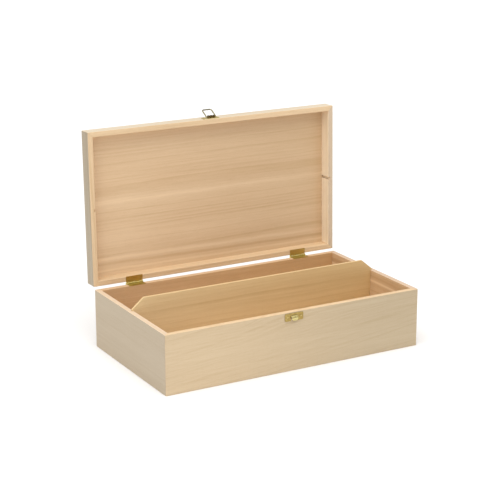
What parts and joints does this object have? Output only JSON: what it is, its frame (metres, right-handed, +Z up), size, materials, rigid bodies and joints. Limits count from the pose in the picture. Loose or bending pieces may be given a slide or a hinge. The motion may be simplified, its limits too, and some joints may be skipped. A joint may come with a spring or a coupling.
{
  "type": "hinged wooden supply box",
  "caption": "Shallow wooden box with a lift-out divider, a hinged framed lid standing open on stop hinges, and a brass wire clasp.",
  "frame": {"origin": "middle of the underside, on the surface that the box stands on", "axes": "+X to the right along the front, +Y from the front to the back where the hinges are, +Z up"},
  "size_m": [0.35, 0.2248, 0.2802],
  "materials": {
    "pale_wood": "bare sanded pale wood, matt",
    "divider_wood": "bare thin board, matt",
    "brass": "bright, slightly tarnished"
  },
  "bodies": {
    "base": {"base_front_wall": "pale_wood", "base_back_wall": "pale_wood", "base_left_wall": "pale_wood", "base_right_wall": "pale_wood", "base_bottom_panel": "pale_wood", "left_hinge_base_leaf": "brass", "left_hinge_pin": "brass", "left_hinge_base_nail_1": "brass", "left_hinge_base_nail_2": "brass", "right_hinge_base_leaf": "brass", "right_hinge_pin": "brass", "right_hinge_base_nail_1": "brass", "right_hinge_base_nail_2": "brass", "clasp_catch": "brass", "clasp_catch_nail_left": "brass", "clasp_catch_nail_right": "brass"},
    "lid": {"lid_front_wall": "pale_wood", "lid_back_wall": "pale_wood", "lid_left_wall": "pale_wood", "lid_right_wall": "pale_wood", "lid_top_panel": "pale_wood", "left_hinge_lid_leaf": "brass", "left_hinge_lid_nail_1": "brass", "left_hinge_lid_nail_2": "brass", "right_hinge_lid_leaf": "brass", "right_hinge_lid_nail_1": "brass", "right_hinge_lid_nail_2": "brass", "clasp_plate": "brass", "clasp_plate_nail_left": "brass", "clasp_plate_nail_right": "brass"},
    "bail": {"clasp_bail": "brass"},
    "divider": {"divider": "divider_wood"}
  },
  "joints": [
    {"name": "lid_hinge", "type": "hinge", "parent": "base", "child": "lid", "pos_m": [0, 0.0995, 0.074], "axis": [1, 0, 0], "range_deg": [0, 91.5]},
    {"name": "bail_swing", "type": "hinge", "parent": "lid", "child": "bail", "pos_m": [-0.0045, 0.1077, 0.27265], "axis": [1, 0, 0], "range_deg": [-29, 150]},
    {"name": "divider_lift", "type": "slide", "parent": "base", "child": "divider", "axis": [0, 0, 1], "range_m": [0, 0.0012]}
  ]
}
